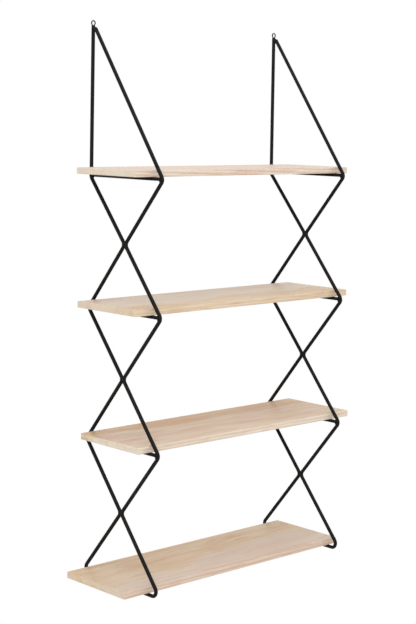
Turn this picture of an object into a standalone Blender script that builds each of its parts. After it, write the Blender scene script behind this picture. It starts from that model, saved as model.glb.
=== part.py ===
"""Hanging wall shelf: loose wooden boards lying on two zigzag side frames of welded round rod.

The wall is the plane y = 0 and the room is on the -Y side. z = 0 is the centre of the two
eyes that the shelf hangs from, and x = 0 is midway between the frames. Sizes are in metres.
"""
import math
from dataclasses import dataclass

import bmesh
import bpy
from mathutils import Matrix, Vector

# Frames
ROD_DIAMETER = 0.008        # round steel rod of the frames and of the bearers
BEND_RADIUS = 0.012         # every bend, to the middle of the rod
FRAME_DEPTH = 0.259         # from the wall to the outside of the front bends
FRAME_SPACING = 0.600       # between the middles of the two frames
SHELF_COUNT = 4
SHELF_PITCH = 0.310         # from one bearer to the next, but for the lowest
TOP_RISE = 0.3472           # from the first bearer up to the cut top of the back rod
TOP_STEP = 0.002            # the front rod is cut this much lower, where its top bend starts
BEARER_RISE = 0.0015        # bearers are welded in a little above the middle of the bends

# Hanging eyes
EYE_WIRE = 0.0022           # wire diameter
EYE_RADIUS = 0.0052         # ring, to the middle of the wire
EYE_RISE = 0.0066           # from the rods' tops to the middle of the ring
EYE_LEG = 0.0006            # upright ends of the wire on the rod

# Boards
BOARD_LENGTH = 0.700
BOARD_THICKNESS = 0.015
BOARD_PLAY = 0.003          # clearance to the rods in front of a board and behind it
BOARD_EASE = 0.0015         # rounding of the board's edges
BOARD_SHIFTS = (-0.011, -0.004, 0.011, -0.024)   # how far each board lies off centre

SEAT = 0.0003               # gap between faces that touch

# Facets
ARC_STEP = math.radians(10)
EYE_ARC_STEP = math.radians(18)
ROD_RESOLUTION = 4          # 12 sides
EYE_RESOLUTION = 3          # 10 sides
EASE_SEGMENTS = 3

# Colours are linear RGB
COAT_BLACK = (0.012, 0.012, 0.013)
COAT_ROUGHNESS = 0.55
WOOD_TONES = ((0.70, 0.58, 0.45), (0.71, 0.59, 0.46), (0.69, 0.57, 0.44), (0.70, 0.57, 0.45))
WOOD_ROUGHNESS = 0.62

# Places that follow from the sizes
ROD_RADIUS = ROD_DIAMETER / 2
BACK_AXIS = -ROD_RADIUS
FRONT_AXIS = ROD_RADIUS - FRAME_DEPTH
MIDDLE = (BACK_AXIS + FRONT_AXIS) / 2
KISS = (ROD_DIAMETER + SEAT) / 2
ROD_TOP = -EYE_RISE
RUN_HEIGHT = SHELF_PITCH / 2 - BEARER_RISE   # of a diagonal, from its upper pin to the waist
BEARER_LEVELS = [ROD_TOP - TOP_RISE - k * SHELF_PITCH for k in range(SHELF_COUNT - 1)]
WAIST_LEVELS = [level - SHELF_PITCH / 2 for level in BEARER_LEVELS]
# the last diagonals are as steep as the first ones of each bay, which sets the lowest bearer
BEARER_LEVELS.append(WAIST_LEVELS[-1] - RUN_HEIGHT - BEND_RADIUS)
BOARD_LIFT = ROD_RADIUS + SEAT

WALL_SIDE = 1
ROOM_SIDE = -1


@dataclass
class Bend:
    """A stretch of rod bent round a pin. Vectors are (y, z), and the two normals are unit
    vectors from the pin's centre to where the rod meets the pin and where it leaves it."""
    pin: Vector
    side: int
    meets: Vector
    leaves: Vector

    def sweep(self):
        """Signed angle from where the rod meets the pin to where it leaves it."""
        start = math.atan2(self.meets.y, self.meets.x)
        end = math.atan2(self.leaves.y, self.leaves.x)
        turn = (start - end) * self.side % (2 * math.pi)
        return -self.side * turn

    def points(self):
        """Centre-line points round the bend, both ends included."""
        steps = max(1, math.ceil(abs(self.sweep()) / ARC_STEP))
        turns = (Matrix.Rotation(self.sweep() * k / steps, 2) for k in range(steps + 1))
        return [self.pin + BEND_RADIUS * (turn @ self.meets) for turn in turns]

    def inner_face(self, height):
        """y of the rod's surface on the pin's side of it, at a height beside the bend."""
        reach = BEND_RADIUS - ROD_RADIUS
        rise = height - self.pin.y
        for normal, beyond in ((self.meets, 1), (self.leaves, -1)):
            if beyond * (rise - reach * normal.y) > 0:
                return self.pin.x + (reach - rise * normal.y) / normal.x
        return self.pin.x + self.side * math.sqrt(reach ** 2 - rise ** 2)


def bend_rod(pins):
    """Bends of a rod that comes down upright on the wall side of its first pin, crosses from
    side to side between the pins, and leaves level under the last one."""
    sides = [WALL_SIDE if k % 2 == 0 else ROOM_SIDE for k in range(len(pins))]
    meets = Vector((1, 0))
    bends = []
    for pin, after, side in zip(pins, pins[1:], sides):
        run = after - pin
        spread = math.acos(2 * BEND_RADIUS / run.length)
        leaves = Matrix.Rotation(side * spread, 2) @ run.normalized()
        bends.append(Bend(pin, side, meets, leaves))
        meets = -leaves
    bends.append(Bend(pins[-1], sides[-1], meets, Vector((0, -1))))
    return bends


def zigzag_pins(outer, inner, side):
    """Pins of a zigzag between the bends at the bearers and the waists, top to bottom.
    side says on which side of its outer pins the rod passes."""
    pins = []
    for level, waist in zip(BEARER_LEVELS, WAIST_LEVELS):
        pins.append(Vector((outer - side * BEND_RADIUS, level - BEARER_RISE)))
        pins.append(Vector((inner + side * BEND_RADIUS, waist)))
    pins.append(Vector((outer - side * BEND_RADIUS, BEARER_LEVELS[-1] + BEND_RADIUS)))
    return pins


def front_bends():
    top_axis = BACK_AXIS - ROD_DIAMETER - SEAT
    top_pin = Vector((top_axis - BEND_RADIUS, ROD_TOP - TOP_STEP))
    return bend_rod([top_pin] + zigzag_pins(FRONT_AXIS, MIDDLE - KISS, ROOM_SIDE))


def back_bends():
    return bend_rod(zigzag_pins(BACK_AXIS, MIDDLE + KISS, WALL_SIDE))


def bearer_bends(bends, side):
    """The bends beside the bearers, one for each board."""
    return [bend for bend in bends if bend.side == side][-SHELF_COUNT:]


def rod_path(bends, top, joint):
    """Centre line from the cut top of a rod down to where it meets its twin under the
    lowest board, at y = joint."""
    path = []
    for bend in bends:
        path += bend.points()
    if top - path[0].y > SEAT:
        path.insert(0, Vector((path[0].x, top)))
    path.append(Vector((joint, BEARER_LEVELS[-1])))
    return [Vector((0, p.x, p.y)) for p in path]


def board_span(front, back):
    """Front and back faces of the boards: the clear space between the rods at the boards'
    corners, less the play."""
    nearest_front = []
    nearest_back = []
    for level, room, wall in zip(BEARER_LEVELS, front, back):
        for height in (level + BOARD_LIFT, level + BOARD_LIFT + BOARD_THICKNESS):
            nearest_front.append(room.inner_face(height))
            nearest_back.append(wall.inner_face(height))
    return max(nearest_front) + BOARD_PLAY, min(nearest_back) - BOARD_PLAY


def bearer_span(level, room, wall):
    """Ends of a bearer, cut square where its rim just reaches the inside of the bends."""
    rims = (level - ROD_RADIUS, level + ROD_RADIUS)
    start = max(room.inner_face(height) for height in rims) + SEAT
    end = min(wall.inner_face(height) for height in rims) - SEAT
    return start, end


def eye_path():
    """Centre line of the eye: up from one foot, round the ring and down to the other foot."""
    foot = (EYE_WIRE + SEAT) / 2
    base = ROD_TOP + SEAT
    knee = Vector((foot, base + EYE_LEG))
    # the straight leg from the knee touches the ring
    slant = math.atan2(knee.x, -knee.y)
    touch = slant + math.acos(EYE_RADIUS / knee.length)
    half_ring = math.pi - touch
    steps = math.ceil(2 * half_ring / EYE_ARC_STEP)
    ring = []
    for k in range(steps + 1):
        angle = touch + 2 * half_ring * k / steps
        ring.append(Vector((EYE_RADIUS * math.sin(angle), -EYE_RADIUS * math.cos(angle))))
    path = [Vector((foot, base)), knee] + ring
    path += [Vector((-knee.x, knee.y)), Vector((-foot, base))]
    return [Vector((p.x, BACK_AXIS, p.y)) for p in path]


def finish(name, colour, roughness, metallic):
    material = bpy.data.materials.new(name)
    material.use_nodes = True
    shader = material.node_tree.nodes["Principled BSDF"]
    shader.inputs["Base Color"].default_value = (*colour, 1)
    shader.inputs["Roughness"].default_value = roughness
    shader.inputs["Metallic"].default_value = metallic
    material.diffuse_color = (*colour, 1)
    return material


def round_stock(name, path, diameter, resolution, material):
    """Curve data for a length of round rod or wire along a path, with flat ends."""
    curve = bpy.data.curves.new(name, "CURVE")
    curve.dimensions = "3D"
    curve.bevel_depth = diameter / 2
    curve.bevel_resolution = resolution
    curve.use_fill_caps = True
    spline = curve.splines.new("POLY")
    spline.points.add(len(path) - 1)
    for point, place in zip(spline.points, path):
        point.co = (*place, 1)
    spline.use_smooth = True
    curve.materials.append(material)
    return curve


def board_mesh(name, depth, material):
    mesh = bpy.data.meshes.new(name)
    bm = bmesh.new()
    bmesh.ops.create_cube(bm, size=1)
    bmesh.ops.scale(bm, vec=(BOARD_LENGTH, depth, BOARD_THICKNESS), verts=bm.verts)
    bm.to_mesh(mesh)
    bm.free()
    mesh.materials.append(material)
    return mesh


def add(name, data, parent=None, location=(0, 0, 0)):
    thing = bpy.data.objects.new(name, data)
    bpy.context.scene.collection.objects.link(thing)
    thing.parent = parent
    thing.location = location
    return thing


def build_frames(front, back):
    """Both side frames, whose rods, bearers and eyes share their curves."""
    rods = {
        "front_rod": rod_path(front, ROD_TOP - TOP_STEP, MIDDLE - SEAT / 2),
        "back_rod": rod_path(back, ROD_TOP, MIDDLE + SEAT / 2),
    }
    curves = {}
    for name, path in rods.items():
        coat = finish(name + "_coat", COAT_BLACK, COAT_ROUGHNESS, 0)
        curves[name] = round_stock(name, path, ROD_DIAMETER, ROD_RESOLUTION, coat)
    coat = finish("bearer_coat", COAT_BLACK, COAT_ROUGHNESS, 0)
    rooms = bearer_bends(front, ROOM_SIDE)
    walls = bearer_bends(back, WALL_SIDE)
    for k in range(SHELF_COUNT - 1):
        level = BEARER_LEVELS[k]
        ends = bearer_span(level, rooms[k], walls[k])
        name = f"bearer_{k + 1}"
        path = [Vector((0, y, level)) for y in ends]
        curves[name] = round_stock(name, path, ROD_DIAMETER, ROD_RESOLUTION, coat)
    coat = finish("eye_coat", COAT_BLACK, COAT_ROUGHNESS, 0)
    curves["eye"] = round_stock("eye", eye_path(), EYE_WIRE, EYE_RESOLUTION, coat)
    for hand, x in (("left", -FRAME_SPACING / 2), ("right", FRAME_SPACING / 2)):
        frame = add(hand + "_frame", None, location=(x, 0, 0))
        for name, curve in curves.items():
            add(f"{hand}_{name}", curve, frame)


def build_boards(front, back):
    """The boards, each about its own middle, lying loose on the bearers."""
    room_face, wall_face = board_span(
        bearer_bends(front, ROOM_SIDE), bearer_bends(back, WALL_SIDE))
    middle = (room_face + wall_face) / 2
    for k in range(SHELF_COUNT):
        name = f"board_{k + 1}"
        wood = finish(name + "_wood", WOOD_TONES[k % len(WOOD_TONES)], WOOD_ROUGHNESS, 0)
        shift = BOARD_SHIFTS[k % len(BOARD_SHIFTS)]
        height = BEARER_LEVELS[k] + BOARD_LIFT + BOARD_THICKNESS / 2
        mesh = board_mesh(name, wall_face - room_face, wood)
        board = add(name, mesh, location=(shift, middle, height))
        ease = board.modifiers.new("eased edges", "BEVEL")
        ease.width = BOARD_EASE
        ease.segments = EASE_SEGMENTS
        ease.limit_method = "NONE"


def main():
    for thing in list(bpy.data.objects):
        bpy.data.objects.remove(thing, do_unlink=True)
    front = front_bends()
    back = back_bends()
    build_frames(front, back)
    build_boards(front, back)


main()
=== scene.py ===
"""Looks of the hanging wall shelf: bent and welded black rod frames, and pale wooden boards.

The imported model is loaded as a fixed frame, and every piece is built where it says, in metres.
The wall is the plane y = 0, the room is on the -Y side, and z = 0 is the middle of the eyes.
"""
import math

import bpy
from bpy.props import FloatProperty, FloatVectorProperty, IntProperty, PointerProperty
from bpy.types import Operator, Panel, PropertyGroup
from mathutils import Matrix, Vector, noise


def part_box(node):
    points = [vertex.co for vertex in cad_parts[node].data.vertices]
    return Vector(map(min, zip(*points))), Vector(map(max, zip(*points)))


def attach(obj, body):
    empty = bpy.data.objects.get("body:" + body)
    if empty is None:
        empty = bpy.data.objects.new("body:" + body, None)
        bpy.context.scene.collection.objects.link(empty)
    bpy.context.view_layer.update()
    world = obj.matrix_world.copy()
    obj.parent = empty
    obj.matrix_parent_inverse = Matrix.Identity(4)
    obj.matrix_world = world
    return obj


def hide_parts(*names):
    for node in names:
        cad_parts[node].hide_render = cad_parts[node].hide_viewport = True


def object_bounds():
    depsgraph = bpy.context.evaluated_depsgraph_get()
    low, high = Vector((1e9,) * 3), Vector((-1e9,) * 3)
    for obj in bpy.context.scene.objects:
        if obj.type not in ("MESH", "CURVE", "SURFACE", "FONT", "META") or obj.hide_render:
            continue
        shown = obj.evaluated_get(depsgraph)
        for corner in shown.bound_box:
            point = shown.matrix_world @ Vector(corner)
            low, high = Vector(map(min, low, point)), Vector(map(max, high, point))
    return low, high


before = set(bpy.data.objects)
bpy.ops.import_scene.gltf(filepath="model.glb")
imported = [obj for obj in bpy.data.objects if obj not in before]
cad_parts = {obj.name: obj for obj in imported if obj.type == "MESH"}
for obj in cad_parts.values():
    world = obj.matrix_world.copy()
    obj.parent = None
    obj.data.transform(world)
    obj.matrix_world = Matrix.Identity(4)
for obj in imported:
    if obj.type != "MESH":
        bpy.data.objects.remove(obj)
CAD_LOW, CAD_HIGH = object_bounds()

bl_info = {
    "name": "Hanging wall shelf",
    "version": (1, 0, 0),
    "blender": (4, 5, 0),
    "location": "3D View > Sidebar > Wall shelf",
    "description": "Builds the looks of a hanging shelf: rod frames, welds, boards and studio",
    "category": "Object",
}

HANDS = ("left", "right")
BEARERS = (1, 2, 3)
BOARDS = (1, 2, 3, 4)
WALL_SIDE = 1
ROOM_SIDE = -1
BOTH_SIDES = (-1, 1)
SIDEWAYS = Vector((1, 0, 0))
TO_THE_WALL = Vector((0, 1, 0))
MM = 0.001


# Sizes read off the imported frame

def middle(node):
    low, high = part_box(node)
    return (low + high) / 2


def frame_x(hand):
    return middle(hand + "_back_rod").x


ROD_LOW, ROD_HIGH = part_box("left_front_rod")
BACK_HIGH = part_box("left_back_rod")[1]
ROD_RADIUS = (ROD_HIGH.x - ROD_LOW.x) / 2
FRONT_AXIS = ROD_LOW.y + ROD_RADIUS
BACK_AXIS = BACK_HIGH.y - ROD_RADIUS
MIDDLE = (FRONT_AXIS + BACK_AXIS) / 2
ROD_TOP = BACK_HIGH.z
TOP_STEP = ROD_TOP - ROD_HIGH.z
LEVELS = [middle(f"left_bearer_{k}").z for k in BEARERS] + [ROD_LOW.z + ROD_RADIUS]
PITCH = LEVELS[0] - LEVELS[1]
WAISTS = [level - PITCH / 2 for level in LEVELS[:-1]]
SEAT = 0.3 * MM


# Sizes of the eyes

FOOT_SINK = 0.8 * MM     # how far the feet run down into the weld
KNEE_RISE = 0.6 * MM     # from the bottom of the CAD eye to where its loop begins
EYE_STEPS = 36
EYE_SIDES = 16


# Sizes of the welds

BEAD_SIDES = 12
BEAD_STEP = 0.35 * MM         # from one ring of a bead's mesh to the next
LEAST_BEAD_STEPS = 8
BEAD_TIP = 0.002              # square of the width that is left at a bead's tips
RIPPLE_PITCH = 1.7 * MM
RIPPLE_SHARE = 0.05
SWELLS_PER_METRE = 260
SWELL_SHARE = 0.16

# beads on both sides of a seam, by their distance from the frame's plane in rod radii
WAIST_ASIDE = 0.58
WAIST_RISE = Vector((0, 0, 6 * MM))
SEAM_ASIDE = 0.55
SEAM_DROP = 1.5 * MM
SEAM_RUN = Vector((0, -1.2 * MM, -11 * MM))

# the thick bead in the crotch under the tops of the rods
CROTCH_DROP = 6 * MM
CROTCH_RUN = Vector((0, -2.2 * MM, -8.5 * MM))
CROTCH_SHARE = 1.5

# a collar round a bearer's end is thickest in the crotch under the bearer
COLLAR_STEPS = 48
COLLAR_REACH, COLLAR_REACH_BELOW = 0.1 * MM, 0.6 * MM
COLLAR_INWARD, COLLAR_INWARD_BELOW = 0.2 * MM, 1.5 * MM
COLLAR_SWELL_BELOW = 0.95

# at the eye, a bead round each foot and a fill between the feet
FOOT_BEAD_STEPS = 20
FOOT_BEAD_SIDES = 8
FOOT_BEAD_REACH = 1.25 * MM
FOOT_BEAD_RADIUS = 0.5 * MM
FILL_RISE = 0.5 * MM

# y from the back rod's middle, z from its top, and radius, all in rod radii
SHOULDER = (
    (0.62, -0.30, 0.22), (0.50, -0.36, 0.34), (0.0, -0.55, 0.58), (-0.55, -0.76, 0.76),
    (-1.05, -1.06, 0.86), (-1.55, -1.42, 0.90), (-1.95, -1.80, 0.90), (-2.12, -2.3, 0.88),
    (-2.18, -2.7, 0.70), (-2.20, -2.9, 0.40),
)
SHOULDER_SIDES = 20
SHOULDER_SWELLS_PER_METRE = 300
SHOULDER_SWELL_SHARE = 0.05


# The coat

CLOUD_BLACK = (0.0100, 0.0082, 0.0075, 1)
SPECK_GREY = (0.060, 0.058, 0.058, 1)
CLOUDS_PER_METRE = 30.0
SPECKS_PER_METRE = 420.0
CLOUD_SHARE = 0.55
SPECK_SHARE = 0.2
SPECK_RANGE = (0.66, 0.74)
CLOUD_ROUGHNESS = 0.06
PEEL_ROUGHNESS = 0.05
COAT_RELIEF = (0.35, 0.05 * MM)
COAT_SPECULAR = 0.13


# The wood

# noises: waves per metre along and across a board, detail, roughness, distortion
GRAIN = {
    "sway": (2.4, 9.0, 2.0, 0.50, 0.0),
    "wave": (9.0, 34.0, 3.0, 0.55, 0.0),
    "drift": (3.2, 12.0, 3.0, 0.60, 0.0),
    "swirl": (3.6, 13.0, 2.0, 0.45, 0.0),
    "patch": (2.6, 26.0, 4.0, 0.62, 0.0),
    "flame": (3.8, 78.0, 4.0, 0.66, 0.25),
    "blush": (4.6, 38.0, 4.0, 0.60, 0.3),
    "fibre": (12.0, 620.0, 3.0, 0.60, 0.0),
    "pore": (60.0, 1500.0, 2.0, 0.50, 0.0),
}
# what counts as high in a noise, from just to fully
PEAK_RANGES = {
    "patch": (0.50, 0.72),
    "flame": (0.46, 0.68),
    "blush": (0.48, 0.66),
    "pore": (0.62, 0.74),
}
# how far up and down a noise is followed
NOISE_RANGE = (0.3, 0.7)
SWING_RANGE = (0.25, 0.75)
DRIFT_RANGE = (0.2, 0.8)

# metres of noise from one stave to the next, and from one seed to the next
STAVES_APART = 1.7
BOARDS_APART = 3.1

# late wood rises through a ring's width and drops again at its end
LATE_RISE = (0.10, 0.84)
LATE_FALL = (1.0, 0.88)
TRUNK_BEND = 10 * MM
RING_RIPPLE = 2.2 * MM
PITH_ASIDE = 40 * MM
PITH_DEPTH = (20 * MM, 70 * MM)
PITH_TILT = 0.035
LINE_WANDER = 36 * MM
LINE_BLUR = 12 * MM
SAP_BLUR = (-10 * MM, 8 * MM)
SWIRL_ASIDE = 17 * MM

# painted light: the pale colour that the front faces and sawn ends are painted towards, where
# the lamps light them
PAINTED_LIGHT_WOOD = (0.80, 0.725, 0.59, 1)
ROSY_FLAME = (0.600, 0.388, 0.288, 1)
ORANGE_FLAME = (0.590, 0.365, 0.195, 1)
PORE_BROWN = (0.36, 0.23, 0.14, 1)
GLUE_BROWN = (0.42, 0.27, 0.16, 1)

# shares of a flame's colour, in the mauve wood and in the heartwood
RING_SHARES = (0.17, 0.26)
FACE_RING_SHARES = (0.34, 0.12)
FLAME_SHARES = (0.30, 0.60)
BLUSH_SHARE = 0.36
COOL_BLUSH, WARM_BLUSH = 0.65, 0.80
MOST_FIRE = 0.95
END_FIRE = 0.5

PATCH_SHARE = 0.60
PORE_SHARE, END_PORE_SHARE = 0.11, 0.05
GLUE_SHARE = 0.14
GLUE_RANGE = (0.4955, 0.4995)          # in stave widths from a stave's middle
PAINTED_LIGHT_RANGE = (0.7, 1.0)              # of the painted face light, from sapwood to the painted light colour
STREAK = (0.955, 1.04)
TOP_FLAMES, FACE_FLAMES = 2.0, 1.1     # the most that Flames may be
FIBRE_ROUGHNESS = 0.05
END_ROUGHER = 0.12
PORE_DEPTH = 3.0
RING_DEPTH = 0.12
FIBRE_HEIGHT = 0.6
WOOD_RELIEF = (0.3, 0.08 * MM)

# how squarely a face has to look along the board, or out of its front, to count as that side
END_FACING = (0.6, 0.9)
FRONT_FACING = (0.5, 0.9)

# What sets the wood of each board apart. Places are in the board's y, and a slope is the change
# of that place along the board.
# The fourth key is how far each board's front face and sawn ends are painted paler, as painted
# light.
BOARD_WOOD = {
    1: {"Seed": 3.37, "Tan from": -0.030, "Flames": 1.1, "Painted face light": 0.88},
    2: {"Seed": 11.62, "Tan from": -0.155, "Tan side": ROOM_SIDE, "Pale from": -0.070,
        "Pale share": 0.58, "Warmth": 0.20, "Flames": 1.05, "Painted face light": 0.55},
    3: {"Seed": 24.18, "Tan from": -0.078, "Tan depth": 0.50, "Pale from": -0.210,
        "Pale share": 0.30, "Warmth": 0.95, "Flames": 1.8, "Painted face light": 0.95},
    4: {"Seed": 41.45, "Tan from": -0.140, "Tan slope": 0.06, "Warmth": 0.10,
        "Flames": 1.1, "Painted face light": 0.55},
}


# The stage

SENSOR = 36
FLOOR_REACH = 9.0
FLOOR_FADE = (0.3, 1.0)        # from the shelf's middle, where the floor turns white
FLOOR_TONES = ((0.88, 0.88, 0.88, 1), (0.90, 0.90, 0.90, 1))
FLOOR_CLOUDS_PER_METRE = 1.3
SHELF_HEART = Vector((0, -0.13, -0.7))


class FrameSettings(PropertyGroup):
    bend_radius: FloatProperty(
        name="Bend radius", description="Every bend of the rods, to the middle of the rod",
        default=0.012, min=0.006, unit="LENGTH")
    bearer_rise: FloatProperty(
        name="Bearer rise", description="Bearers sit this far above the middle of the bends",
        default=0.0015, min=0, unit="LENGTH")
    rod_sides: IntProperty(
        name="Rod sides", description="Sides of the round section", default=24, min=8)
    cut_ease: FloatProperty(
        name="Cut ease", description="Rounding that the coat gives a sawn end",
        default=0.0006, min=0, unit="LENGTH")
    shoulder_ease: FloatProperty(
        name="Shoulder ease", description="Rounding ground on the top of the front rod",
        default=0.0040, min=0, unit="LENGTH")
    shoulder_cut: FloatProperty(
        name="Shoulder cut", description="Length ground off the top of the front rod",
        default=0.0015, min=0, unit="LENGTH")
    coat_build: FloatProperty(
        name="Coat build", description="Thickness of the coat on the rods",
        default=0.0004, min=0, unit="LENGTH")
    bearer_coat: FloatProperty(
        name="Bearer coat", description="Thickness of the coat where boards rub it",
        default=0.0002, min=0, max=0.0003, unit="LENGTH")
    eye_coat: FloatProperty(
        name="Eye coat", description="Thickness of the coat on the eyes' wire",
        default=0.0004, min=0, unit="LENGTH")
    eye_stance: FloatProperty(
        name="Eye stance", description="From the rod's middle to the feet of its eye",
        default=0.00285, min=0.0013, unit="LENGTH")
    bead_radius: FloatProperty(
        name="Bead radius", description="Half the width of a weld bead",
        default=0.0016, min=0.0005, unit="LENGTH")
    coat_colour: FloatVectorProperty(
        name="Coat colour", description="Matt black powder coat", subtype="COLOR",
        default=(0.0044, 0.0033, 0.0029), min=0, max=1)
    coat_roughness: FloatProperty(
        name="Coat roughness", description="Middle roughness of the coat",
        default=0.50, min=0, max=1, subtype="FACTOR")


class BoardSettings(PropertyGroup):
    stave_width: FloatProperty(
        name="Stave width", description="Width of the strips that a board is glued from",
        default=0.104, min=0.02, unit="LENGTH")
    ring_width: FloatProperty(
        name="Ring width", description="Width of a growth ring", default=0.0085,
        min=0.001, unit="LENGTH")
    sap_colour: FloatVectorProperty(
        name="Sapwood", description="Palest wood", subtype="COLOR",
        default=(0.748, 0.634, 0.482), min=0, max=1)
    tan_colour: FloatVectorProperty(
        name="Tan wood", description="Warm bands", subtype="COLOR",
        default=(0.705, 0.545, 0.372), min=0, max=1)
    mauve_colour: FloatVectorProperty(
        name="Mauve wood", description="Cool pinkish bands", subtype="COLOR",
        default=(0.680, 0.553, 0.452), min=0, max=1)
    roughness: FloatProperty(
        name="Roughness", description="Fine sanded, bare wood", default=0.46,
        min=0, max=1, subtype="FACTOR")


class StageSettings(PropertyGroup):
    floor_drop: FloatProperty(
        name="Floor drop", description="From the lowest point of the shelf down to the floor",
        default=0.55, min=0, unit="LENGTH")
    ambient: FloatProperty(
        name="Ambient light", description="Strength of the light from all round",
        default=0.70, min=0)
    key_power: FloatProperty(
        name="Key lamp", description="Power of the large lamp on the left", default=64,
        min=0, unit="POWER")
    fill_power: FloatProperty(
        name="Fill lamp", description="Power of the lamp on the right", default=16,
        min=0, unit="POWER")
    top_power: FloatProperty(
        name="Top lamp", description="Power of the lamp overhead", default=22,
        min=0, unit="POWER")
    camera_place: FloatVectorProperty(
        name="Camera place", description="Where the camera stands", subtype="TRANSLATION",
        unit="LENGTH", default=(-2.4950, -2.7460, -0.2125))
    camera_yaw: FloatProperty(
        name="Camera yaw", description="Turn to the right from square on to the wall",
        subtype="ANGLE", default=math.radians(43.14))
    camera_pitch: FloatProperty(
        name="Camera pitch", description="Tilt down", subtype="ANGLE",
        default=math.radians(2.71))
    camera_roll: FloatProperty(
        name="Camera roll", description="Turn about the line of sight", subtype="ANGLE",
        default=math.radians(0.97))
    camera_lens: FloatProperty(
        name="Focal length", description="Focal length for a sensor 36 mm on its long side",
        default=86.42, min=1, unit="CAMERA")
    camera_rise: FloatProperty(
        name="Camera shift", description="Vertical shift of the lens", default=-0.2)


# Meshes

def new_object(name, verts, faces, material, smooth=True):
    mesh = bpy.data.meshes.new(name)
    mesh.from_pydata([tuple(v) for v in verts], [], faces)
    mesh.update()
    if smooth:
        mesh.shade_smooth()
    mesh.materials.append(material)
    thing = bpy.data.objects.new(name, mesh)
    bpy.context.scene.collection.objects.link(thing)
    return thing


class Skin:
    """Vertices and faces of one or more tubes, collected for a single mesh."""

    def __init__(self):
        self.verts = []
        self.faces = []

    def tube(self, rings, closed=False):
        """Joins rings of points, all of one count, and closes both ends with a cap unless the
        tube itself is closed."""
        sides = len(rings[0])
        base = len(self.verts)
        for ring in rings:
            self.verts.extend(ring)
        count = len(rings)
        for i in range(count if closed else count - 1):
            here = base + i * sides
            there = base + (i + 1) % count * sides
            for k in range(sides):
                after = (k + 1) % sides
                self.faces.append((here + k, here + after, there + after, there + k))
        if not closed:
            for start, flip in ((base, True), (base + (count - 1) * sides, False)):
                loop = list(range(start, start + sides))
                self.faces.append(tuple(reversed(loop)) if flip else tuple(loop))

    def build(self, name, material):
        return new_object(name, self.verts, self.faces, material)


def ring_at(centre, across, up, radius, sides):
    """Points of a round section in the plane of two unit vectors."""
    turns = [2 * math.pi * k / sides for k in range(sides)]
    return [centre + radius * (math.cos(t) * across + math.sin(t) * up) for t in turns]


def directions(path):
    """Unit vectors along a path at each of its points."""
    neighbours = zip([path[0], *path], [*path[1:], path[-1]])
    return [(after - before).normalized() for before, after in neighbours]


def flat_tube(skin, path, radii, flat_normal, sides):
    """A tube along a path that lies in a plane with the given normal."""
    rings = []
    for centre, along, radius in zip(path, directions(path), radii):
        rings.append(ring_at(centre, flat_normal, along.cross(flat_normal), radius, sides))
    skin.tube(rings)


def walked(path, distance):
    """The point at a distance along a path, and the number of points that lie before it."""
    for i, (here, after) in enumerate(zip(path, path[1:])):
        step = (after - here).length
        if distance <= step:
            return here.lerp(after, distance / step), i + 1
        distance -= step
    return path[-1], len(path) - 1


def eased_end(path, radius, ease, steps=6):
    """The path with more points at its start, and the radius at each, so that the rim of the
    cut is rounded."""
    points = []
    radii = []
    for k in range(steps + 1):
        turn = math.pi / 2 * k / steps
        point, passed = walked(path, ease * (1 - math.cos(turn)))
        points.append(point)
        radii.append(radius - ease * (1 - math.sin(turn)))
    points += path[passed:]
    radii += [radius] * (len(points) - len(radii))
    return points, radii


# Centre lines of the rods, as (y, z) in the plane of a frame

def bend_rod(pins, radius):
    """Arcs of a rod that comes down upright on the wall side of its first pin, crosses over
    between the pins and leaves level under the last one: (pin, side, meets, leaves)."""
    arcs = []
    meets = Vector((1, 0))
    sides = [WALL_SIDE if k % 2 == 0 else ROOM_SIDE for k in range(len(pins))]
    for pin, after, side in zip(pins, pins[1:], sides):
        run = after - pin
        spread = math.acos(2 * radius / run.length)
        leaves = Matrix.Rotation(side * spread, 2) @ run.normalized()
        arcs.append((pin, side, meets, leaves))
        meets = -leaves
    arcs.append((pins[-1], sides[-1], meets, Vector((0, -1))))
    return arcs


def arc_points(arc, radius, step=math.radians(4)):
    pin, side, meets, leaves = arc
    start = math.atan2(meets.y, meets.x)
    end = math.atan2(leaves.y, leaves.x)
    sweep = -side * ((start - end) * side % (2 * math.pi))
    count = max(1, math.ceil(abs(sweep) / step))
    turns = (Matrix.Rotation(sweep * k / count, 2) for k in range(count + 1))
    return [pin + radius * (turn @ meets) for turn in turns]


def zigzag_pins(outer, inner, side, settings):
    """Pins of a zigzag between a line at a frame's front or back and one at its waists."""
    pins = []
    radius = settings.bend_radius
    for level, waist in zip(LEVELS, WAISTS):
        pins.append(Vector((outer - side * radius, level - settings.bearer_rise)))
        pins.append(Vector((inner + side * radius, waist)))
    pins.append(Vector((outer - side * radius, LEVELS[-1] + radius)))
    return pins


def rod_arcs(settings):
    """Arcs of the front rod and of the back rod."""
    radius = settings.bend_radius
    kiss = ROD_RADIUS + SEAT / 2
    beside = BACK_AXIS - 2 * ROD_RADIUS - SEAT
    top_pin = Vector((beside - radius, ROD_TOP - TOP_STEP))
    front = [top_pin] + zigzag_pins(FRONT_AXIS, MIDDLE - kiss, ROOM_SIDE, settings)
    back = zigzag_pins(BACK_AXIS, MIDDLE + kiss, WALL_SIDE, settings)
    return bend_rod(front, radius), bend_rod(back, radius)


def rod_line(arcs, top, settings):
    """Points of a rod from its cut top to the middle of the bottom bearer."""
    line = []
    for arc in arcs:
        line += arc_points(arc, settings.bend_radius)
    above = [p for p in line if p.y > top]
    below = line[len(above):]
    if above:
        share = (above[-1].y - top) / (above[-1].y - below[0].y)
        first = above[-1].lerp(below[0], share)
    else:
        first = Vector((below[0].x, top))
    return [first, *below, Vector((MIDDLE, LEVELS[-1]))]


def worn_foot(path, radii, settings):
    """The radii of a rod with a thinner coat on its level foot, where the board lies."""
    wear = settings.coat_build - settings.bearer_coat
    shares = (min(1, (p.z - LEVELS[-1]) / settings.bend_radius) for p in path)
    return [radius - wear * (1 - share) for radius, share in zip(radii, shares)]


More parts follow.
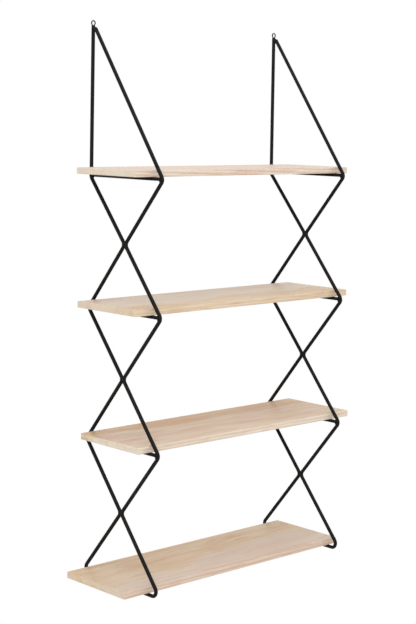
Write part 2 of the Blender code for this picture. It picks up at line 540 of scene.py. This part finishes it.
def bend_face(pin, side, x, z, radius):
    """y of the rod's skin on the inside of a bend, at a distance x from the frame's plane and
    at a height z."""
    reach = radius - math.sqrt(max(ROD_RADIUS ** 2 - x ** 2, 0))
    rise = min(abs(z - pin.y), reach)
    return pin.x + side * math.sqrt(reach ** 2 - rise ** 2)


# Node trees

class Graph:
    """A node tree that is being filled."""

    def __init__(self, tree):
        self.tree = tree

    def node(self, kind, feeds=None, **options):
        made = self.tree.nodes.new(kind)
        for key, value in options.items():
            setattr(made, key, value)
        for key, value in (feeds or {}).items():
            self.feed(made.inputs[key], value)
        return made

    def feed(self, socket, value):
        if isinstance(value, bpy.types.NodeSocket):
            self.tree.links.new(value, socket)
        else:
            socket.default_value = value

    def maths(self, operation, *values, clamp=False):
        feeds = dict(enumerate(values))
        made = self.node("ShaderNodeMath", feeds, operation=operation, use_clamp=clamp)
        return made.outputs[0]

    def plus(self, first, second, clamp=False):
        return self.maths("ADD", first, second, clamp=clamp)

    def minus(self, first, second):
        return self.maths("SUBTRACT", first, second)

    def times(self, first, second):
        return self.maths("MULTIPLY", first, second)

    def over(self, first, second):
        return self.maths("DIVIDE", first, second)

    def vector(self, operation, *values):
        feeds = dict(enumerate(values))
        return self.node("ShaderNodeVectorMath", feeds, operation=operation).outputs[0]

    def length(self, vector):
        made = self.node("ShaderNodeVectorMath", {0: vector}, operation="LENGTH")
        return made.outputs["Value"]

    def parts(self, vector):
        return self.node("ShaderNodeSeparateXYZ", {0: vector}).outputs

    def joined(self, x=0.0, y=0.0, z=0.0):
        return self.node("ShaderNodeCombineXYZ", {0: x, 1: y, 2: z}).outputs[0]

    def noise(self, vector, scale=1.0, detail=2.0, roughness=0.5, distortion=0.0):
        feeds = {"Vector": vector, "Scale": scale, "Detail": detail, "Roughness": roughness,
                 "Distortion": distortion}
        return self.node("ShaderNodeTexNoise", feeds).outputs["Fac"]

    def grain(self, name, place):
        """A noise that is drawn out along the board."""
        along, across, detail, roughness, distortion = GRAIN[name]
        stretched = self.vector("MULTIPLY", place, (along, across, across))
        return self.noise(stretched, 1.0, detail, roughness, distortion)

    def spread(self, value, low, high, to_low=0.0, to_high=1.0, kind="SMOOTHSTEP"):
        """The value from low to high, eased over to another range."""
        feeds = {"Value": value, "From Min": low, "From Max": high, "To Min": to_low,
                 "To Max": to_high}
        return self.node("ShaderNodeMapRange", feeds, interpolation_type=kind).outputs[0]

    def ramp(self, value, low, high, to_low, to_high):
        """The same in a straight line."""
        return self.spread(value, low, high, to_low, to_high, kind="LINEAR")

    def between(self, share, at_none, at_full):
        """From one value to the other as a share goes from 0 to 1."""
        return self.spread(share, 0.0, 1.0, at_none, at_full)

    def swing(self, name, place, most):
        """A noise of the grain as a value to both sides of nought."""
        return self.ramp(self.grain(name, place), *SWING_RANGE, -most, most)

    def peaks(self, name, place, most=1.0):
        """Where a noise of the grain is high."""
        return self.spread(self.grain(name, place), *PEAK_RANGES[name], 0.0, most)

    def mix(self, factor, first, second, blend="MIX"):
        made = self.node("ShaderNodeMix", data_type="RGBA", blend_type=blend)
        self.feed(made.inputs[0], factor)
        self.feed(made.inputs[6], first)
        self.feed(made.inputs[7], second)
        return made.outputs[2]


FLOAT = "NodeSocketFloat"
VECTOR = "NodeSocketVector"
COLOUR = "NodeSocketColor"
SURFACE = (("Colour", COLOUR), ("Roughness", FLOAT), ("Height", FLOAT))


def new_group(name, takes):
    """An empty shader node group that gives a surface: its graph, its inputs and the inputs of
    its output node."""
    tree = bpy.data.node_groups.new(name, "ShaderNodeTree")
    for label, kind, value in takes:
        socket = tree.interface.new_socket(label, in_out="INPUT", socket_type=kind)
        if value is not None:
            socket.default_value = value
    for label, kind in SURFACE:
        tree.interface.new_socket(label, in_out="OUTPUT", socket_type=kind)
    graph = Graph(tree)
    inputs = tree.nodes.new("NodeGroupInput").outputs
    return graph, inputs, tree.nodes.new("NodeGroupOutput").inputs


def coat_group():
    """Powder coat: a fine orange peel, faint cloudiness and a few rubbed specks."""
    name = "Powder coat"
    if name in bpy.data.node_groups:
        return bpy.data.node_groups[name]
    graph, takes, gives = new_group(name, [
        ("Place", VECTOR, None), ("Colour", COLOUR, (0.02, 0.02, 0.02, 1)),
        ("Roughness", FLOAT, 0.5), ("Peel per metre", FLOAT, 900.0)])
    place = takes["Place"]
    peel = graph.noise(place, takes["Peel per metre"], detail=3.0, roughness=0.55)
    cloud = graph.noise(place, CLOUDS_PER_METRE, detail=3.0, roughness=0.6)
    speck = graph.noise(place, SPECKS_PER_METRE, detail=4.0, roughness=0.75)
    rubbed = graph.spread(speck, *SPECK_RANGE)
    cloudy = graph.spread(cloud, *NOISE_RANGE, 0.0, CLOUD_SHARE)
    lit = graph.mix(cloudy, takes["Colour"], CLOUD_BLACK)
    graph.feed(gives["Colour"], graph.mix(graph.times(rubbed, SPECK_SHARE), lit, SPECK_GREY))
    uneven = graph.ramp(cloud, *NOISE_RANGE, -CLOUD_ROUGHNESS, CLOUD_ROUGHNESS)
    rough = graph.plus(takes["Roughness"], uneven)
    uneven = graph.spread(peel, *NOISE_RANGE, -PEEL_ROUGHNESS, PEEL_ROUGHNESS)
    rough = graph.plus(rough, uneven, clamp=True)
    graph.feed(gives["Roughness"], rough)
    graph.feed(gives["Height"], peel)
    return graph.tree


def stave_parts(graph, takes):
    """Where a point lies across its stave, from -0.5 to 0.5, its place moved apart from those
    in other staves, and three chance numbers of the stave."""
    seed = takes["Seed"]
    y = graph.parts(takes["Place"])[1]
    across = graph.plus(graph.over(y, takes["Stave width"]), seed)
    index = graph.maths("FLOOR", across)
    key = graph.joined(index, seed)
    own = graph.node("ShaderNodeTexWhiteNoise", {0: key}, noise_dimensions="3D").outputs[1]
    chance = graph.node("ShaderNodeSeparateColor", {0: own}).outputs
    inside = graph.minus(graph.maths("FRACT", across), 0.5)
    apart = graph.joined(graph.times(index, STAVES_APART), seed,
                         graph.times(seed, BOARDS_APART))
    return inside, graph.vector("ADD", takes["Place"], apart), chance


def late_wood(graph, takes, inside, place, chance):
    """The dark late wood of the growth rings, which lie about the pith of the stave's tree."""
    x, _, z = graph.parts(takes["Place"])
    bend = graph.swing("sway", place, TRUNK_BEND)
    ripple = graph.swing("wave", place, RING_RIPPLE)
    off_y = graph.ramp(chance[0], 0.0, 1.0, -PITH_ASIDE, PITH_ASIDE)
    off_z = graph.ramp(chance[1], 0.0, 1.0, *PITH_DEPTH)
    tilt = graph.times(x, graph.between(chance[2], -PITH_TILT, PITH_TILT))
    local_y = graph.times(inside, takes["Stave width"])
    tree_y = graph.plus(graph.plus(local_y, off_y), bend)
    tree_z = graph.plus(graph.plus(z, tilt), off_z)
    reach = graph.length(graph.joined(tree_y, tree_z))
    phase = graph.maths("FRACT", graph.over(graph.plus(reach, ripple), takes["Ring width"]))
    return graph.times(graph.spread(phase, *LATE_RISE), graph.spread(phase, *LATE_FALL))


def heart_and_sap(graph, takes):
    """Heartwood on one side of a wavy line along the board, and pale sapwood towards the front
    edge. The rest is mauve."""
    x, y, _ = graph.parts(takes["Place"])
    drift = graph.grain("drift", takes["Place"])
    wander = graph.spread(drift, *DRIFT_RANGE, -LINE_WANDER, LINE_WANDER)
    line = graph.plus(graph.plus(takes["Tan from"], wander), graph.times(x, takes["Tan slope"]))
    beyond = graph.times(graph.minus(y, line), takes["Tan side"])
    heart = graph.spread(beyond, -LINE_BLUR, LINE_BLUR)
    front = graph.minus(graph.plus(takes["Pale from"], wander), y)
    sap = graph.times(graph.spread(front, *SAP_BLUR), takes["Pale share"])
    return heart, graph.times(sap, graph.minus(1.0, heart))


def plain_tone(graph, takes, place, heart, sap):
    """The colour of the bands, with painted light: the front faces and the sawn ends are painted
    paler, as faces that turn to the lamps.
    """
    patch = graph.peaks("patch", place, PATCH_SHARE)
    cool = graph.mix(takes["Warmth"], takes["Mauve wood"], takes["Tan wood"])
    tone = graph.mix(heart, cool, takes["Tan wood"])
    tone = graph.mix(patch, tone, takes["Sapwood"])
    tone = graph.mix(sap, tone, takes["Sapwood"])
    # painted light: the front faces and sawn ends are painted paler, towards a lit colour
    outside = graph.maths("MAXIMUM", takes["Sawn end"], takes["Front face"])
    pale = takes["Painted face light"]
    painted_lit_tone = graph.mix(graph.spread(pale, *PAINTED_LIGHT_RANGE), takes["Sapwood"], PAINTED_LIGHT_WOOD)
    return graph.mix(graph.times(outside, pale), tone, painted_lit_tone)


def fire_share(graph, takes, place, late, heart, sap):
    """How far the rings, flames and blushes turn the wood to their own colour."""
    face_rings = graph.times(takes["Front face"], graph.between(heart, *FACE_RING_SHARES))
    rings = graph.plus(graph.between(heart, *RING_SHARES), face_rings)
    flames = graph.times(graph.peaks("flame", place), graph.between(heart, *FLAME_SHARES))
    blush = graph.peaks("blush", place, BLUSH_SHARE)
    rosy = graph.times(blush, graph.ramp(takes["Warmth"], 0.0, 1.0, COOL_BLUSH, WARM_BLUSH))
    warm = graph.plus(graph.plus(graph.times(late, rings), flames), rosy)
    most = graph.ramp(takes["Front face"], 0.0, 1.0, TOP_FLAMES, FACE_FLAMES)
    warm = graph.times(warm, graph.maths("MINIMUM", takes["Flames"], most))
    warm = graph.plus(warm, graph.times(heart, takes["Tan depth"]))
    warm = graph.times(warm, graph.minus(1.0, sap))
    warm = graph.times(warm, graph.between(takes["Sawn end"], 1.0, END_FIRE))
    return graph.maths("MINIMUM", warm, MOST_FIRE)


def wood_group():
    """Solid wood of glued staves. Tops show long figure and sawn ends show the arcs of the
    growth rings."""
    name = "Board wood"
    if name in bpy.data.node_groups:
        return bpy.data.node_groups[name]
    # one input is the share of painted light on the front faces and sawn ends
    graph, takes, gives = new_group(name, [
        ("Place", VECTOR, None), ("Seed", FLOAT, 0.0), ("Stave width", FLOAT, 0.1),
        ("Ring width", FLOAT, 0.009), ("Tan from", FLOAT, -0.13), ("Tan slope", FLOAT, 0.0),
        ("Tan side", FLOAT, WALL_SIDE), ("Tan depth", FLOAT, 0.0),
        ("Pale from", FLOAT, -0.3), ("Pale share", FLOAT, 0.0), ("Warmth", FLOAT, 0.0),
        ("Flames", FLOAT, 1.0), ("Painted face light", FLOAT, 0.7), ("Sawn end", FLOAT, 0.0),
        ("Front face", FLOAT, 0.0), ("Sapwood", COLOUR, (0.7, 0.6, 0.5, 1)),
        ("Tan wood", COLOUR, (0.6, 0.5, 0.3, 1)),
        ("Mauve wood", COLOUR, (0.6, 0.5, 0.4, 1)), ("Roughness", FLOAT, 0.6)])
    inside, shifted, chance = stave_parts(graph, takes)
    late = late_wood(graph, takes, inside, shifted, chance)
    heart, sap = heart_and_sap(graph, takes)
    # the figure follows the swirls of the grain
    aside = graph.swing("swirl", shifted, SWIRL_ASIDE)
    figured = graph.vector("ADD", shifted, graph.joined(0.0, aside, aside))
    tone = plain_tone(graph, takes, figured, heart, sap)
    fire = graph.mix(heart, ROSY_FLAME, ORANGE_FLAME)
    tone = graph.mix(fire_share(graph, takes, figured, late, heart, sap), tone, fire)
    # fibres and pores
    fibre = graph.grain("fibre", shifted)
    streak = graph.ramp(fibre, *NOISE_RANGE, *STREAK)
    shade = graph.node("ShaderNodeCombineColor", {0: streak, 1: streak, 2: streak}).outputs[0]
    tone = graph.mix(1.0, tone, shade, "MULTIPLY")
    pores = graph.times(graph.peaks("pore", shifted),
                        graph.between(takes["Sawn end"], PORE_SHARE, END_PORE_SHARE))
    tone = graph.mix(pores, tone, PORE_BROWN)
    # glue lines between the staves
    seam = graph.spread(graph.maths("ABSOLUTE", inside), *GLUE_RANGE)
    graph.feed(gives["Colour"], graph.mix(graph.times(seam, GLUE_SHARE), tone, GLUE_BROWN))
    smoother = graph.spread(fibre, *NOISE_RANGE, FIBRE_ROUGHNESS, -FIBRE_ROUGHNESS)
    rough = graph.plus(takes["Roughness"], smoother)
    rough = graph.plus(rough, graph.times(takes["Sawn end"], END_ROUGHER), clamp=True)
    graph.feed(gives["Roughness"], rough)
    low = graph.plus(graph.times(pores, PORE_DEPTH), graph.times(late, RING_DEPTH))
    graph.feed(gives["Height"], graph.minus(graph.times(fibre, FIBRE_HEIGHT), low))
    return graph.tree


def material_with(name, tree, values, relief):
    """A Principled material fed by a group that gives Colour, Roughness and Height. The relief
    is the strength and the depth of its bumps."""
    material = bpy.data.materials.new(name)
    material.use_nodes = True
    graph = Graph(material.node_tree)
    shader = material.node_tree.nodes["Principled BSDF"]
    place = graph.node("ShaderNodeTexCoord").outputs
    group = graph.node("ShaderNodeGroup", node_tree=tree)
    graph.feed(group.inputs["Place"], place["Object"])
    for key, value in values.items():
        graph.feed(group.inputs[key], value)
    graph.feed(shader.inputs["Base Color"], group.outputs["Colour"])
    graph.feed(shader.inputs["Roughness"], group.outputs["Roughness"])
    strength, depth = relief
    bump = graph.node("ShaderNodeBump", {"Height": group.outputs["Height"],
                                         "Strength": strength, "Distance": depth})
    graph.feed(shader.inputs["Normal"], bump.outputs[0])
    return material, graph, group, place


def coat_material(settings):
    name = "Black powder coat"
    if name in bpy.data.materials:
        return bpy.data.materials[name]
    values = {"Colour": (*settings.coat_colour, 1), "Roughness": settings.coat_roughness}
    material = material_with(name, coat_group(), values, COAT_RELIEF)[0]
    shader = material.node_tree.nodes["Principled BSDF"]
    shader.inputs["Specular IOR Level"].default_value = COAT_SPECULAR
    return material


def wood_material(board, settings):
    """The wood of one board. Its seed lays the staves and the figure out anew."""
    values = {
        **BOARD_WOOD[board],
        "Stave width": settings.stave_width,
        "Ring width": settings.ring_width,
        "Sapwood": (*settings.sap_colour, 1),
        "Tan wood": (*settings.tan_colour, 1),
        "Mauve wood": (*settings.mauve_colour, 1),
        "Roughness": settings.roughness,
    }
    material, graph, group, place = material_with(
        f"Board {board} wood", wood_group(), values, WOOD_RELIEF)
    facing = graph.parts(place["Normal"])
    for label, axis, span in (("Sawn end", 0, END_FACING), ("Front face", 1, FRONT_FACING)):
        share = graph.spread(graph.maths("ABSOLUTE", facing[axis]), *span)
        graph.feed(group.inputs[label], share)
    return material


# Pieces

def dress(thing, *nodes):
    """Rides a piece on the frames and hides the CAD nodes that it stands for."""
    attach(thing, "frames")
    if nodes:
        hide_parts(*nodes)


class SHELF_OT_bend_rods(Operator):
    """Bend the front and back rods of both frames and lay the bearers between them"""
    bl_idname = "shelf.bend_rods"
    bl_label = "Bend rods"

    def execute(self, context):
        settings = context.scene.shelf_frame
        coat = coat_material(settings)
        front, back = rod_arcs(settings)
        coated = ROD_RADIUS + settings.coat_build
        rubbed = ROD_RADIUS + settings.bearer_coat
        rods = (
            ("front_rod", front, ROD_TOP - TOP_STEP - settings.shoulder_cut,
             settings.shoulder_ease),
            ("back_rod", back, ROD_TOP, settings.cut_ease),
        )
        for hand in HANDS:
            x = frame_x(hand)
            for name, arcs, top, ease in rods:
                path = [Vector((x, p.x, p.y)) for p in rod_line(arcs, top, settings)]
                path, radii = eased_end(path, coated, ease)
                radii = worn_foot(path, radii, settings)
                skin = Skin()
                flat_tube(skin, path, radii, SIDEWAYS, settings.rod_sides)
                rod = skin.build(f"{hand}_{name}_bent", coat)
                dress(rod, f"{hand}_{name}")
            for k in BEARERS:
                low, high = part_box(f"{hand}_bearer_{k}")
                # the ends run on into the bends, where the welds hold them
                ends = (low.y - ROD_RADIUS / 2, high.y + ROD_RADIUS / 2)
                path = [Vector((x, y, LEVELS[k - 1])) for y in ends]
                skin = Skin()
                flat_tube(skin, path, [rubbed] * 2, SIDEWAYS, settings.rod_sides)
                bearer = skin.build(f"{hand}_bearer_{k}_bar", coat)
                dress(bearer, f"{hand}_bearer_{k}")
        return {"FINISHED"}


def eye_line(ring, knee):
    """The wire's middle as (x, z): up from a foot to its knee, round the ring and down again."""
    foot = Vector((knee.x, ROD_TOP - FOOT_SINK))
    slant = math.atan2(knee.x, -knee.y)
    touch = slant + math.acos(ring / knee.length)
    sweep = 2 * (math.pi - touch)
    line = [foot, knee]
    for k in range(EYE_STEPS + 1):
        angle = touch + sweep * k / EYE_STEPS
        line.append(Vector((ring * math.sin(angle), -ring * math.cos(angle))))
    return line + [Vector((-knee.x, knee.y)), Vector((-foot.x, foot.y))]


class SHELF_OT_bend_eyes(Operator):
    """Bend the wire eyes that the shelf hangs from"""
    bl_idname = "shelf.bend_eyes"
    bl_label = "Bend eyes"

    def execute(self, context):
        settings = context.scene.shelf_frame
        coat = coat_material(settings)
        for hand in HANDS:
            low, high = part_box(hand + "_eye")
            x = frame_x(hand)
            wire = (high.y - low.y) / 2
            knee = Vector((settings.eye_stance, low.z + KNEE_RISE))
            line = eye_line(high.z - wire, knee)
            path = [Vector((x + p.x, BACK_AXIS, p.y)) for p in line]
            coated = wire + settings.eye_coat
            skin = Skin()
            flat_tube(skin, path, [coated] * len(path), TO_THE_WALL, EYE_SIDES)
            eye = skin.build(hand + "_eye_wire", coat)
            dress(eye, hand + "_eye")
        return {"FINISHED"}


def bead_swell(place, along):
    """Unevenness of a hand-laid weld bead: its ripples and a slow swelling."""
    ripple = RIPPLE_SHARE * math.sin(2 * math.pi * along / RIPPLE_PITCH)
    return 1 + ripple + SWELL_SHARE * noise.noise(place * SWELLS_PER_METRE)


def spindle(skin, start, end, across, radius):
    """A bead between two points, thick in the middle and closed at its ends."""
    along = (end - start).normalized()
    up = along.cross(across)
    length = (end - start).length
    count = max(LEAST_BEAD_STEPS, int(length / BEAD_STEP))
    rings = []
    for i in range(count + 1):
        t = i / count
        shape = math.sqrt(max(1 - (2 * t - 1) ** 4, BEAD_TIP))
        place = start.lerp(end, t)
        width = radius * shape * bead_swell(place, t * length)
        rings.append(ring_at(place, across, up, width, BEAD_SIDES))
    skin.tube(rings)


def collar(skin, x, arc, level, settings):
    """A bead round the end of a bearer, on the skin of the bend that it meets."""
    pin, side = arc[:2]
    rings = []
    for i in range(COLLAR_STEPS):
        angle = 2 * math.pi * i / COLLAR_STEPS
        out = Vector((math.cos(angle), 0, math.sin(angle)))
        below = max(0, -out.z) ** 2
        reach = ROD_RADIUS + COLLAR_REACH + COLLAR_REACH_BELOW * below
        aside = min(abs(reach * out.x), ROD_RADIUS)
        y = bend_face(pin, side, aside, level + reach * out.z, settings.bend_radius)
        y -= side * (COLLAR_INWARD + COLLAR_INWARD_BELOW * below)
        centre = Vector((x, y, level)) + out * reach
        width = settings.bead_radius * (1 + COLLAR_SWELL_BELOW * below)
        width *= bead_swell(centre, reach * angle)
        rings.append(ring_at(centre, out, TO_THE_WALL, width, BEAD_SIDES))
    skin.tube(rings, closed=True)


def foot_bead(skin, place):
    """A small bead round the foot of an eye."""
    rings = []
    for i in range(FOOT_BEAD_STEPS):
        angle = 2 * math.pi * i / FOOT_BEAD_STEPS
        out = Vector((math.cos(angle), math.sin(angle), 0))
        centre = place + FOOT_BEAD_REACH * out
        width = FOOT_BEAD_RADIUS * bead_swell(centre, FOOT_BEAD_REACH * angle)
        rings.append(ring_at(centre, out, Vector((0, 0, -1)), width, FOOT_BEAD_SIDES))
    skin.tube(rings, closed=True)


def shoulder(skin, x):
    """The weld over the tops of the two rods, which slopes from the eye's feet down to the
    outside of the front rod."""
    path = [Vector((x, BACK_AXIS + y * ROD_RADIUS, ROD_TOP + z * ROD_RADIUS))
            for y, z, _ in SHOULDER]
    radii = []
    for place, (_, _, radius) in zip(path, SHOULDER):
        swell = SHOULDER_SWELL_SHARE * noise.noise(place * SHOULDER_SWELLS_PER_METRE)
        radii.append(radius * ROD_RADIUS * (1 + swell))
    flat_tube(skin, path, radii, SIDEWAYS, SHOULDER_SIDES)


def waist_welds(x, settings):
    """Beads on both sides of each waist, where the front rod kisses the back rod."""
    skin = Skin()
    for waist in WAISTS:
        for out in BOTH_SIDES:
            spot = Vector((x + out * WAIST_ASIDE * ROD_RADIUS, MIDDLE, waist))
            ends = (spot - WAIST_RISE, spot + WAIST_RISE)
            spindle(skin, *ends, SIDEWAYS, settings.bead_radius)
    return skin


def bearer_welds(x, settings):
    """Collars round both ends of the three straight bearers."""
    skin = Skin()
    front, back = rod_arcs(settings)
    bends = ([arc for arc in front if arc[1] == ROOM_SIDE],
             [arc for arc in back if arc[1] == WALL_SIDE])
    for k in BEARERS:
        for arcs in bends:
            collar(skin, x, arcs[k - 1], LEVELS[k - 1], settings)
    return skin


def top_weld(x, settings):
    """All that is welded at a frame's top: the two rods, the weld over them and the eye."""
    skin = Skin()
    bead = settings.bead_radius
    seam_y = BACK_AXIS - ROD_RADIUS - SEAT / 2
    for out in BOTH_SIDES:
        high = Vector((x + out * SEAM_ASIDE * ROD_RADIUS, seam_y, ROD_TOP - SEAM_DROP))
        spindle(skin, high, high + SEAM_RUN, SIDEWAYS, bead)
    high = Vector((x, seam_y, ROD_TOP - CROTCH_DROP))
    spindle(skin, high, high + CROTCH_RUN, SIDEWAYS, CROTCH_SHARE * bead)
    shoulder(skin, x)
    stance = Vector((settings.eye_stance, 0, 0))
    rest = Vector((x, BACK_AXIS, ROD_TOP + FILL_RISE))
    spindle(skin, rest - stance, rest + stance, TO_THE_WALL, bead)
    for out in BOTH_SIDES:
        foot_bead(skin, Vector((x + out * settings.eye_stance, BACK_AXIS, ROD_TOP)))
    return skin


class SHELF_OT_lay_welds(Operator):
    """Lay the weld beads at the tops, the waists, the bearers and the eyes of both frames"""
    bl_idname = "shelf.lay_welds"
    bl_label = "Lay welds"

    def execute(self, context):
        settings = context.scene.shelf_frame
        coat = coat_material(settings)
        for hand in HANDS:
            x = frame_x(hand)
            dress(waist_welds(x, settings).build(hand + "_waist_welds", coat))
            dress(bearer_welds(x, settings).build(hand + "_bearer_welds", coat))
            dress(top_weld(x, settings).build(hand + "_top_weld", coat))
        return {"FINISHED"}


class SHELF_OT_finish_boards(Operator):
    """Give the boards their wood"""
    bl_idname = "shelf.finish_boards"
    bl_label = "Finish boards"

    def execute(self, context):
        settings = context.scene.shelf_boards
        for k in BOARDS:
            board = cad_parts[f"board_{k}"]
            board.data.materials.clear()
            board.data.materials.append(wood_material(k, settings))
        return {"FINISHED"}


# Stage

def looked_at(graph):
    """1 for rays that show a surface to the camera, in a mirror or through glass."""
    path = graph.node("ShaderNodeLightPath").outputs
    seen = graph.maths("MAXIMUM", path["Is Camera Ray"], path["Is Glossy Ray"])
    return graph.maths("MAXIMUM", seen, path["Is Transmission Ray"])


def floor_material():
    """Pale floor that takes the shelf's shadow and fades to white away from it."""
    material = bpy.data.materials.new("Studio floor")
    material.use_nodes = True
    graph = Graph(material.node_tree)
    shader = material.node_tree.nodes["Principled BSDF"]
    place = graph.node("ShaderNodeTexCoord").outputs["Object"]
    tone = graph.mix(graph.noise(place, FLOOR_CLOUDS_PER_METRE), *FLOOR_TONES)
    graph.feed(shader.inputs["Base Color"], tone)
    shader.inputs["Roughness"].default_value = 0.9
    shader.inputs["Specular IOR Level"].default_value = 0.1
    away = graph.length(graph.vector("MULTIPLY", place, (1, 1, 0)))
    plain = graph.times(graph.spread(away, *FLOOR_FADE), looked_at(graph))
    white = graph.node("ShaderNodeEmission", {"Strength": 1.0}).outputs[0]
    faded = graph.node("ShaderNodeMixShader", {0: plain, 1: shader.outputs[0], 2: white})
    graph.feed(material.node_tree.nodes["Material Output"].inputs["Surface"], faded.outputs[0])
    return material


def white_world(ambient):
    """White where it is seen or mirrored, and a plain soft light everywhere else."""
    world = bpy.data.worlds.new("Studio")
    bpy.context.scene.world = world
    world.use_nodes = True
    graph = Graph(world.node_tree)
    light = world.node_tree.nodes["Background"]
    light.inputs["Color"].default_value = (1, 1, 1, 1)
    strength = graph.ramp(looked_at(graph), 0.0, 1.0, ambient, 1.0)
    graph.feed(light.inputs["Strength"], strength)


def area_lamp(name, place, size, power):
    """A lamp that faces the middle of the shelf."""
    data = bpy.data.lights.new(name, "AREA")
    data.shape = "RECTANGLE"
    data.size, data.size_y = size
    data.energy = power
    lamp = bpy.data.objects.new(name, data)
    bpy.context.scene.collection.objects.link(lamp)
    lamp.location = place
    lamp.rotation_euler = (SHELF_HEART - Vector(place)).to_track_quat("-Z", "Y").to_euler()


def photo_camera(settings):
    yaw, pitch, roll = settings.camera_yaw, settings.camera_pitch, settings.camera_roll
    ahead = Vector((math.sin(yaw) * math.cos(pitch), math.cos(yaw) * math.cos(pitch),
                    -math.sin(pitch)))
    level = Vector((math.cos(yaw), -math.sin(yaw), 0))
    above = level.cross(ahead)
    right = level * math.cos(roll) + above * math.sin(roll)
    up = above * math.cos(roll) - level * math.sin(roll)
    data = bpy.data.cameras.new("Photo camera")
    data.lens = settings.camera_lens
    data.sensor_width = SENSOR
    data.shift_y = settings.camera_rise
    data.clip_end = 50
    camera = bpy.data.objects.new("Photo camera", data)
    bpy.context.scene.collection.objects.link(camera)
    turn = Matrix((right, up, -ahead)).transposed()
    camera.matrix_world = Matrix.Translation(settings.camera_place) @ turn.to_4x4()
    bpy.context.scene.camera = camera


class SHELF_OT_set_stage(Operator):
    """Lay the floor, hang the lamps and stand the camera where the photograph was taken"""
    bl_idname = "shelf.set_stage"
    bl_label = "Set stage"

    def execute(self, context):
        settings = context.scene.shelf_stage
        height = CAD_LOW.z - settings.floor_drop
        corners = [(x * FLOOR_REACH, y * FLOOR_REACH, height)
                   for x, y in ((-1, -1), (1, -1), (1, 1), (-1, 1))]
        floor = new_object("studio_floor", corners, [(0, 1, 2, 3)], floor_material(), False)
        white_world(settings.ambient)
        area_lamp("Key lamp", (-2.9, -2.7, 1.4), (2.4, 2.0), settings.key_power)
        area_lamp("Fill lamp", (2.9, -2.6, 0.3), (2.4, 2.4), settings.fill_power)
        area_lamp("Top lamp", (0, -0.6, 2.2), (2.6, 2.0), settings.top_power)
        photo_camera(settings)
        context.scene.view_settings.view_transform = "Standard"
        return {"FINISHED"}


class SHELF_PT_panel(Panel):
    """The steps that build the shelf's looks"""
    bl_idname = "SHELF_PT_panel"
    bl_label = "Wall shelf"
    bl_space_type = "VIEW_3D"
    bl_region_type = "UI"
    bl_category = "Wall shelf"

    def draw(self, context):
        for group, steps in ((context.scene.shelf_frame, FRAME_STEPS),
                             (context.scene.shelf_boards, BOARD_STEPS),
                             (context.scene.shelf_stage, STAGE_STEPS)):
            box = self.layout.box()
            for key in group.bl_rna.properties.keys():
                if key not in ("rna_type", "name"):
                    box.prop(group, key)
            for step in steps:
                box.operator(step.bl_idname)


FRAME_STEPS = (SHELF_OT_bend_rods, SHELF_OT_bend_eyes, SHELF_OT_lay_welds)
BOARD_STEPS = (SHELF_OT_finish_boards,)
STAGE_STEPS = (SHELF_OT_set_stage,)
CLASSES = (FrameSettings, BoardSettings, StageSettings, *FRAME_STEPS, *BOARD_STEPS,
           *STAGE_STEPS, SHELF_PT_panel)


def register():
    for cls in CLASSES:
        bpy.utils.register_class(cls)
    bpy.types.Scene.shelf_frame = PointerProperty(type=FrameSettings)
    bpy.types.Scene.shelf_boards = PointerProperty(type=BoardSettings)
    bpy.types.Scene.shelf_stage = PointerProperty(type=StageSettings)


def unregister():
    del bpy.types.Scene.shelf_stage
    del bpy.types.Scene.shelf_boards
    del bpy.types.Scene.shelf_frame
    for cls in reversed(CLASSES):
        bpy.utils.unregister_class(cls)


def main():
    register()
    bpy.ops.shelf.bend_rods()
    bpy.ops.shelf.bend_eyes()
    bpy.ops.shelf.lay_welds()
    bpy.ops.shelf.finish_boards()
    bpy.ops.shelf.set_stage()


if __name__ == "__main__":
    main()
